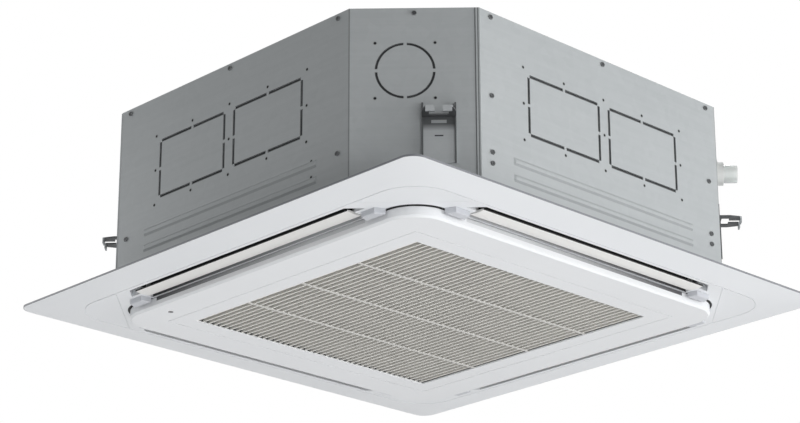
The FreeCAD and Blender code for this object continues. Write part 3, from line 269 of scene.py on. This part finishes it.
sheet_face = -0.42
pilot_columns = (-0.185, -0.0925, 0.0, 0.0925, 0.185)
pilot_rows = (0.2375, 0.1165)
pilot_middle = 0.177
pilot_radius = 0.0028
hole_profile = np.array([(0.0, 0.00006), (0.55, 0.00006), (0.75, 0.00022), (1.0, 0.00026), (1.25, 0.00002)])
hole_profile[:, 0] *= pilot_radius
pilots = [(x, sheet_face, z) for x in pilot_columns for z in pilot_rows]
pilots += [(x, sheet_face, pilot_middle) for x in pilot_columns[::2]]
pilot_points, pilot_facings = around(pilots)
dimple_place, dimple_levels = 0.197, (0.081, 0.055)
for z in dimple_levels:
    pilot_points.append((dimple_place, sheet_face, z))
    pilot_facings.append((0, -1, 0))
corner_reach, corner_shift, corner_height, corner_step = 0.49497, -0.014, 0.204, 0.0455
for turn in (-45, 225):
    out = np.array([math.cos(math.radians(turn)), math.sin(math.radians(turn)), 0])
    along = np.array([-out[1], out[0], 0])
    for a in (-1, 1):
        for b in (-1, 1):
            point = out * corner_reach + along * (corner_shift + a * corner_step)
            point[2] = corner_height + b * corner_step
            pilot_points.append(tuple(point))
            pilot_facings.append(tuple(out))


def punched(name):
    """Dark in the hole, bare bright metal on its rolled rim: the split follows the mesh's own ring attribute."""
    material, tree, place, split = start(name)
    ring = tree.node("Attribute", {"attribute_name": "ring"}, {}, "Fac")
    rim = tree.node("ValToRGB", {"stops": [(0.45, 0.0), (0.7, 1.0)]}, {0: ring})
    grain = noise(tree, place, 900.0)
    rim = tree.node("RGBToBW", {}, {0: rim})
    colour = (rim * (0.8 + grain * 0.4)).mix(rgb(0.02, 0.02, 0.022), rgb(0.42, 0.44, 0.44))
    close(tree, colour, 0.7 - rim * 0.1, grain, 0.00003, {"Specular IOR Level": 0.2})
    return material


points, faces = studs(hole_profile, 12, pilot_points, pilot_facings)
pilot_holes = put("pilot_holes", points, faces, punched("punched_hole"), "unit")
ring = pilot_holes.data.attributes.new("ring", "FLOAT", "POINT")
share = np.broadcast_to(np.linspace(0, 1, len(hole_profile))[None, :, None], points.shape[:3])
ring.data.foreach_set("value", share.ravel().astype(np.float32))


# Screws: hexagon heads with painted shade in the middle where a recess would be, along the casing's top edge and
# seams, and zinc-plated ones on the panel, the hinges and the fan.

def painted_recess_shade(x, y, z):
    """Painted shade in the middle of the nearest screw's head, where a recess would be: rows on the sides, and the
    corner faces' middles.
    """
    reach, levels, recess, side_start = 0.256, (0.058, 0.076, 0.168, 0.299), 0.0031, 0.40
    far, near = abs(x).either(abs(y)), abs(x).both(abs(y))
    on_corner = far < side_start
    across = near.both(abs(near - reach)) * (1 - on_corner) + (far - near) * 0.7071 * on_corner
    up = abs(z - levels[0])
    for level in levels[1:]:
        up = up.both(abs(z - level))
    return across * across + up * up < recess ** 2


screw_finish = galvanised("screw_coating", rgb(0.15, 0.157, 0.16), rgb(0.23, 0.237, 0.24), 0.2, painted_recess_shade)
dress(screw_finish, "casing_screws")
plated_finish = galvanised("zinc_plate", rgb(0.42, 0.43, 0.43), rgb(0.66, 0.67, 0.67), 0.6, painted_sheet_shade)
dress(plated_finish, "panel_screws", "hinge_pins", "fan_nut", "motor_shaft")


# Hanger brackets: pressed steel forks on the corner faces, with an open slot for the hanging rod.
# The foot keeps the sheet's zinc; the fork and its folded edges carry painted shade, and a painted shadow fades down
# the foot.

def painted_fork_shade(x, y, z):
    """Painted shade on the fork, short of its bright tip, and a painted shadow that fades down the foot; a lighter
    patch left in it, and a slit painted dark.
    """
    foot_face, tip, offset, diagonal, fork_shadow_depth = 0.4985, 0.5340, 0.0364, 0.7071, 0.88
    slit_level, slit_half, slit_width = 0.096, 0.0065, 0.0011
    out, along = (abs(x) + abs(y)) * diagonal, abs(abs(x) - abs(y)) * diagonal
    slit = (abs(along - offset) < slit_half).both(abs(z - slit_level) < slit_width)
    fade_end, fade = 0.1035, 0.0115
    lit_level, lit_height, lit_width, lit_share = 0.1188, 0.0026, 0.0115, 0.7
    lit_patch = (abs(along - offset) < lit_width).both(abs(z - lit_level) < lit_height)
    fork_shadow = (((z - fade_end) / fade).both(1.0) - lit_patch * lit_share).either(out > foot_face).either(0.0)
    return (fork_shadow.both(out < tip) * fork_shadow_depth).either(slit)


bracket_finish = galvanised("pressed_bracket", rgb(0.34, 0.36, 0.37), rgb(0.46, 0.48, 0.49), 0.30, painted_fork_shade)
dress(bracket_finish, *["hanger_bracket_" + corner for corner in corners])


# Lining, drain pan and gasket: moulded bead foam inside the casing, dark on the walls, grey in the
# pan, and a soft rubber strip between the casing and the panel.

def foam(name, dark, light):
    """Moulded bead foam: rounded cells pressed together, with a soft skin."""
    material, tree, place, split = start(name)
    bead = tree.node("TexVoronoi", {}, {"Vector": place, "Scale": 260.0}, "Distance")
    clouds = noise(tree, place, 14.0)
    close(tree, (bead * 0.8 + clouds * 0.4).mix(light, dark), 0.85 - clouds * 0.1, 1 - bead, 0.0002, {})
    return material


dress(foam("lining_foam", rgb(0.045, 0.047, 0.05), rgb(0.085, 0.088, 0.09)), "case_liner")
dress(foam("pan_foam", rgb(0.10, 0.10, 0.105), rgb(0.17, 0.17, 0.175)), "drain_pan")


def rubber(name, dark, light):
    """Dull moulded rubber with a dusty bloom."""
    material, tree, place, split = start(name)
    bloom = noise(tree, place, 40.0, 5.0)
    grain = noise(tree, place, 700.0)
    close(tree, (bloom * 0.7 + grain * 0.3).mix(dark, light), 0.62 + bloom * 0.2, grain, 0.00008, {})
    return material


rubber_finish = rubber("soft_rubber", rgb(0.012, 0.012, 0.013), rgb(0.05, 0.05, 0.052))
dress(rubber_finish, "panel_gasket", "motor_mounts", "cable_grommet")


# Heat exchanger: a stack of thin aluminium fins pressed on copper tubes, with brazed return bends and
# headers, and the copper stubs with brass flare nuts that leave the casing.

def finned(name):
    """Upright fins 1.6 mm apart across the coil's run, darker between them as painted shade, with water marks drawn
    down them.
    """
    material, tree, place, (x, y, z) = start(name)
    fin_pitch = 0.0016
    groove = abs((x + y).mod(fin_pitch) / fin_pitch - 0.5) * 2
    marks = noise(tree, place, 12.0, 4.0, (1, 1, 0.15))
    colour = (groove * 0.6 + marks * 0.5).mix(rgb(0.25, 0.26, 0.27), rgb(0.66, 0.68, 0.70))
    close(tree, colour, 0.34 + marks * 0.2, groove, 0.0004, {"Metallic": 0.8})
    return material


dress(finned("fin_stack"), "coil_fins")


def drawn_metal(name, dark, light, metallic):
    """Drawn or turned metal: tarnish in clouds and fine lines along the run."""
    material, tree, place, split = start(name)
    tarnish = noise(tree, place, 28.0, 5.0)
    lines = noise(tree, place, 300.0, 2.0, (1, 1, 8))
    colour = (tarnish * 0.7 + lines * 0.3).mix(dark, light)
    close(tree, colour, 0.26 + tarnish * 0.25, lines, 0.00004, {"Metallic": metallic})
    return material


copper_finish = drawn_metal("drawn_copper", rgb(0.33, 0.14, 0.075), rgb(0.68, 0.34, 0.20), 0.9)
dress(copper_finish, "coil_tubes", "refrigerant_pipes")
dress(drawn_metal("turned_brass", rgb(0.46, 0.33, 0.12), rgb(0.78, 0.60, 0.28), 0.9), "flare_nuts")


# Fan, motor, pump and controls: a black moulded turbo fan and bell mouth, a painted motor, a dark
# drain pump with a white float, and a green board in the control box.

def moulded(name, dark, light, rough, grain_size, grain_depth, specular=0.5):
    """Moulded plastic: slow drift of tone, a fine spark-eroded grain, and rubbed patches in the gloss."""
    material, tree, place, split = start(name)
    drift = noise(tree, place, 5.0, 2.0)
    rubbed = noise(tree, place, 22.0, 5.0)
    grain = noise(tree, place, grain_size, 2.0)
    close(tree, (drift * 0.7 + grain * 0.3).mix(dark, light), rough + rubbed * 0.14, grain, grain_depth,
          {"Specular IOR Level": specular})
    return material


black_finish = moulded("black_moulding", rgb(0.012, 0.012, 0.014), rgb(0.04, 0.04, 0.043),
                       rough=0.42, grain_size=1400.0, grain_depth=0.00005)
dress(black_finish, "bell_mouth", "turbo_fan", "terminal_block", "drain_pump", "float_switch", "vane_motors")
dress(moulded("motor_paint", rgb(0.035, 0.037, 0.04), rgb(0.07, 0.072, 0.075),
              rough=0.36, grain_size=600.0, grain_depth=0.00008), "fan_motor")
dress(moulded("board_mask", rgb(0.02, 0.10, 0.045), rgb(0.04, 0.19, 0.08),
              rough=0.30, grain_size=300.0, grain_depth=0.00005), "control_board")
dress(moulded("float_moulding", rgb(0.70, 0.70, 0.68), rgb(0.84, 0.84, 0.82),
              rough=0.45, grain_size=900.0, grain_depth=0.00004), "float")


# Drain outlet: a white moulded collar on the corner face and a stub of clear hose spigot.
# The clear plastic is a little cloudy, as reground plastic is.

dress(moulded("collar_moulding", rgb(0.60, 0.61, 0.60), rgb(0.74, 0.75, 0.74),
              rough=0.45, grain_size=900.0, grain_depth=0.00004), "drain_port")


def clear_plastic(name):
    """Cloudy clear plastic: flow lines along the spigot vary its colour and gloss."""
    material, tree, place, split = start(name)
    flow = noise(tree, place, 60.0, 4.0)
    close(tree, flow.mix(rgb(0.78, 0.81, 0.80), rgb(0.93, 0.95, 0.94)), 0.14 + flow * 0.12, flow, 0.00005,
          {"Transmission Weight": 0.55, "IOR": 1.46})
    return material


dress(clear_plastic("clear_spigot"), "drain_stub")


# Panel: one large white moulding with four outlet slots, four snap-on corner covers, and four vanes in
# a warmer white. The vanes are painted, the frame keeps the mould's fine satin grain.

def panel_shell(name, dark, light):
    """White satin moulding with painted black shade deep in the four mitred air passages, a painted shadow behind the
    grille's edge, and painted shade on each passage's inner wall and on the rim's outer side.
    """
    material, tree, place, (x, y, z) = start(name)
    passage_inner, passage_outer, passage_end, deep_shade_start = 0.3597, 0.4083, 0.2575, 0.003
    grille_half, grille_corner, rim_half = 0.3620, 0.0620, 0.4743
    far, near = abs(x).either(abs(y)), abs(x).both(abs(y))
    face_level, rim_corner, corner_start = -0.0088, 0.0245, 0.262
    passage = (far > passage_inner).both(far < passage_outer).both(near - far < passage_end - passage_inner)

    def within(half, corner):
        across, along = [(abs(side) - (half - corner)).either(0.0) for side in (x, y)]
        return across * across + along * along < corner ** 2

    behind = within(grille_half, grille_corner).both(z < face_level).both(near > corner_start)
    # Painted black shade deep in the passages, and a painted shadow in the gap behind the grille's edge.
    deep_shade = passage.both(z > deep_shade_start).either(behind)
    wall_depth, reach, slot_length = 0.0007, passage_inner + passage_end, 2 * passage_end
    # Painted shade on each passage's inner wall, darker towards the slot's far end.
    wall = (abs(far - passage_inner) < wall_depth).both(z > face_level).both(near < passage_end)
    painted_slot_shade = wall * ((y - x + reach) / slot_length).both(1.0).either(0.2)
    drift = noise(tree, place, 5.0, 2.0)
    rubbed = noise(tree, place, 22.0, 5.0)
    grain = noise(tree, place, 1800.0, 2.0)
    white = (drift * 0.7 + grain * 0.3).mix(dark, light)
    # Painted shade on the rim's outer side, outside the rim's outline.
    edge = within(rim_half, rim_corner).mix(rgb(0.22, 0.23, 0.25), painted_slot_shade.mix(white, rgb(0.03, 0.03, 0.034)))
    colour = deep_shade.mix(edge, grain.mix(rgb(0.008, 0.008, 0.009), rgb(0.03, 0.03, 0.032)))
    close(tree, colour, 0.38 + rubbed * 0.14 + deep_shade * 0.4, grain, 0.000025, {})
    return material


panel_finish = panel_shell("panel_moulding", rgb(0.73, 0.75, 0.775), rgb(0.81, 0.825, 0.845))
dress(panel_finish, "panel_frame", *["corner_cover_" + corner for corner in corners])


def vane_paint(name, dark, light):
    """Satin paint with dust clouds, and a black strip of painted shade along the vane's outer edge, where the slot's
    gap lies in shade.
    """
    material, tree, place, (x, y, z) = start(name)
    gap_shade_start = 0.3979
    strip = abs(x).either(abs(y)) > gap_shade_start
    dust = noise(tree, place, 9.0, 4.0)
    grain = noise(tree, place, 1500.0, 2.0)
    paint = (dust * 0.7 + grain * 0.3).mix(dark, light)
    colour = strip.mix(paint, grain.mix(rgb(0.008, 0.008, 0.009), rgb(0.03, 0.03, 0.032)))
    close(tree, colour, 0.36 + dust * 0.12 + strip * 0.4, grain, 0.00002, {})
    return material


vane_finish = vane_paint("vane_paint", rgb(0.725, 0.72, 0.705), rgb(0.815, 0.81, 0.795))
dress(vane_finish, *["vane_" + side for side in sides])


# Vane end blocks: a moulded housing below the panel's face at each end of each vane, covering its pivot. Its grey
# is painted shade. It narrows outwards and has a small chamfer round its foot.

def end_blocks(outline, top, drop, chamfer, hinge_quarter, hinge_clearance):
    """An outline and one set in by the chamfer at the foot, mirrored and turned; by the hinge they stand back."""
    outline = np.array(outline)
    middle = outline.mean(0)
    foot = middle + (outline - middle) * (1 - chamfer / np.abs(outline - middle).max(0))
    levels = [(outline, top), (outline, top - drop + chamfer), (foot, top - drop)]
    block = np.array([[(x, y, z) for x, y in ring] for ring, z in levels])
    count = len(outline)
    faces = [tuple(face) for face in grid_faces(len(levels), count)]
    faces += [tuple(range(count))[::-1], tuple(range(2 * count, 3 * count))]
    points, all_faces = [], []
    for quarter in range(4):
        c, s = round(math.cos(quarter * math.pi / 2)), round(math.sin(quarter * math.pi / 2))
        across = block[..., 1] - (hinge_clearance if quarter == hinge_quarter else 0.0)
        for mirror in (1, -1):
            turned_block = np.stack([mirror * block[..., 0] * c - across * s,
                                     mirror * block[..., 0] * s + across * c, block[..., 2]], -1)
            shift = len(points) * block.shape[0] * count
            all_faces += [tuple(shift + i for i in (face if mirror == 1 else face[::-1])) for face in faces]
            points.append(turned_block)
    return np.array(points), all_faces


block_outline = [(0.2590, -0.3622), (0.3000, -0.3622), (0.2930, -0.3790), (0.2640, -0.3790)]
block_points, block_faces = end_blocks(block_outline, top=-0.0091, drop=0.0090, chamfer=0.0014,
                                       hinge_quarter=2, hinge_clearance=0.0072)
shaded_block_finish = moulded("shaded_housing_moulding", rgb(0.48, 0.495, 0.53), rgb(0.58, 0.595, 0.63),
                       rough=0.36, grain_size=1500.0, grain_depth=0.00002)
put("vane_end_blocks", block_points, block_faces, shaded_block_finish, "unit")


# Intake grille: a white tray with a field of fine louvres, a shade warmer than its rim, and a woven
# filter behind them. Two catches hold it shut, and a dark lens covers the receiver.

def louvred(name, rim, shadow, louvre, field_half, rib_level):
    """White rim with painted shade along its four upper edges, darker towards each slot's far end, and inside the
    field a warmer grey.
    """
    material, tree, place, (x, y, z) = start(name)
    field = (abs(x) < field_half).both(abs(y) < field_half)
    rib = z < rib_level
    edge_shade_start, edge_shade_foot, edge_shade_end, reach, slot_length = 0.3570, -0.0165, 0.2500, 0.6175, 0.515
    painted_edge_shade = (abs(x).either(abs(y)) > edge_shade_start).both(z > edge_shade_foot).both(abs(x).both(abs(y)) < edge_shade_end)
    # Painted shade on the grille's upper side wall, darker towards each slot's far end.
    painted_slot_shade = painted_edge_shade * ((y - x + reach) / slot_length).both(1.0).either(0.25)
    drift = noise(tree, place, 5.0, 2.0)
    grain = noise(tree, place, 1800.0, 2.0)
    dust = noise(tree, place, 30.0, 4.0)
    slat = rib.mix((dust * 0.5 + drift * 0.5).mix(shadow, louvre), rgb(0.56, 0.55, 0.53))
    white = (drift * 0.7 + grain * 0.3).mix(rgb(*[0.91 * c for c in rim]), rgb(*rim))
    shell = painted_slot_shade.mix(white, rgb(0.05, 0.05, 0.055))
    close(tree, field.mix(shell, slat), 0.38 + dust * 0.12, grain, 0.000025, {})
    return material


grille_finish = louvred("grille_moulding", (0.81, 0.825, 0.845), rgb(0.76, 0.75, 0.72), rgb(0.88, 0.87, 0.84),
                        field_half=0.2635, rib_level=-0.0260)
dress(grille_finish, "intake_grille", "grille_catch_west", "grille_catch_east")


def woven(name):
    """Plain weave: two trains of threads 2.4 mm apart, over a dark gap."""
    material, tree, place, (x, y, z) = start(name)
    thread = 0.0024
    warp = abs(x.mod(thread) / thread - 0.5) * 2
    weft = abs(y.mod(thread) / thread - 0.5) * 2
    cover = warp.either(weft)
    dust = noise(tree, place, 18.0, 4.0)
    colour = (cover * 0.7 + dust * 0.3).mix(rgb(0.24, 0.24, 0.225), rgb(0.56, 0.55, 0.52))
    close(tree, colour, 0.7 + dust * 0.15, cover, 0.0003, {})
    return material


dress(woven("filter_weave"), "air_filter")
lens_finish = moulded("lens_moulding", rgb(0.004, 0.004, 0.005), rgb(0.012, 0.012, 0.014),
                      rough=0.10, grain_size=900.0, grain_depth=0.000005, specular=0.12)
dress(lens_finish, "receiver_window")


# Stage: a plain pale floor well below the unit, soft white surroundings, and six broad lamps.
# The camera looks up at the unit, as a person in the room would.

def seen(tree):
    """1 for rays from the camera, from gloss and through glass, and 0 for the light that falls on the unit."""
    kinds = ("Is Camera Ray", "Is Glossy Ray", "Is Transmission Ray")
    camera_ray, glossy_ray, glass_ray = [tree.node("LightPath", {}, {}, kind) for kind in kinds]
    return camera_ray.either(glossy_ray).either(glass_ray)


floor_level, floor_half = -14.0, 46.0
floor_points = np.array([(-1, -1), (1, -1), (1, 1), (-1, 1)], float) * floor_half
floor_points = np.column_stack([floor_points, np.full(4, floor_level)])
floor_mesh = bpy.data.meshes.new("floor")
floor_mesh.from_pydata(floor_points.tolist(), [], [(0, 1, 2, 3)])
floor_finish, tree, place, split = start("pale_floor")
floor_tone = noise(tree, place, 2.0).mix(rgb(0.86, 0.86, 0.86), rgb(0.90, 0.90, 0.90))
floor_glow = seen(tree).mix(rgb(0.21, 0.21, 0.21), floor_tone)
close(tree, floor_tone, 0.8, None, 0, {"Emission Color": floor_glow, "Emission Strength": 1.0})
floor_mesh.materials.append(floor_finish)
floor = bpy.data.objects.new("floor", floor_mesh)
bpy.context.scene.collection.objects.link(floor)

world = bpy.data.worlds.new("soft_room")
bpy.context.scene.world = world
world.use_nodes = True
world.node_tree.nodes.clear()
tree = Socket(world.node_tree)
room_level = 0.07
level = seen(tree) * (1 - room_level) + room_level
tree.node("OutputWorld", {}, {"Surface": tree.node("Background", {}, {"Color": rgb(1, 1, 1), "Strength": level})})


def lamp(name, place, aim, size, power):
    """A square soft lamp that faces its aim."""
    light = bpy.data.lights.new(name, "AREA")
    light.size, light.energy = size, power
    holder = bpy.data.objects.new(name, light)
    bpy.context.scene.collection.objects.link(holder)
    towards = Vector(aim) - Vector(place)
    holder.matrix_world = Matrix.Translation(place) @ towards.to_track_quat("-Z", "Y").to_matrix().to_4x4()


lamp("right_window", (3.2, 1.8, -0.3), (0.3, 0.1, 0.1), 2.4, 90)
lamp("front", (3.4, -1.6, -0.45), (0.3, -0.3, 0.15), 1.5, 22)
lamp("low_front", (2.6, -2.0, -1.8), (0, 0, 0), 1.5, 13)
lamp("room_below", (0.45, -0.25, -2.1), (0, 0, 0), 3.4, 35)
lamp("above", (-1.2, 1.2, 3.2), (0, 0, 0.3), 3.0, 105)
lamp("left_fill", (-1.05, -1.05, 0.14), (-0.40, -0.42, 0.10), 0.5, 3)

eye = Vector((2.79367, -2.72576, -1.32133))
right = Vector((0.69874, 0.71535, -0.00595))
upward = Vector((0.25836, -0.24459, 0.93457))
ahead = Vector((-0.66709, 0.65456, 0.35572))
image_width, focal_pixels, slide_pixels = 800, 2469.4, -25.7
view = bpy.data.cameras.new("view")
view.sensor_width = 36.0
view.lens = view.sensor_width * focal_pixels / image_width
view.shift_x = slide_pixels / image_width
view.clip_end = 60.0
camera = bpy.data.objects.new("view", view)
turn = Matrix((right, upward, -ahead)).transposed().to_4x4()
camera.matrix_world = Matrix.Translation(eye) @ turn
bpy.context.scene.collection.objects.link(camera)
bpy.context.scene.camera = camera
bpy.context.scene.view_settings.view_transform = "Standard"
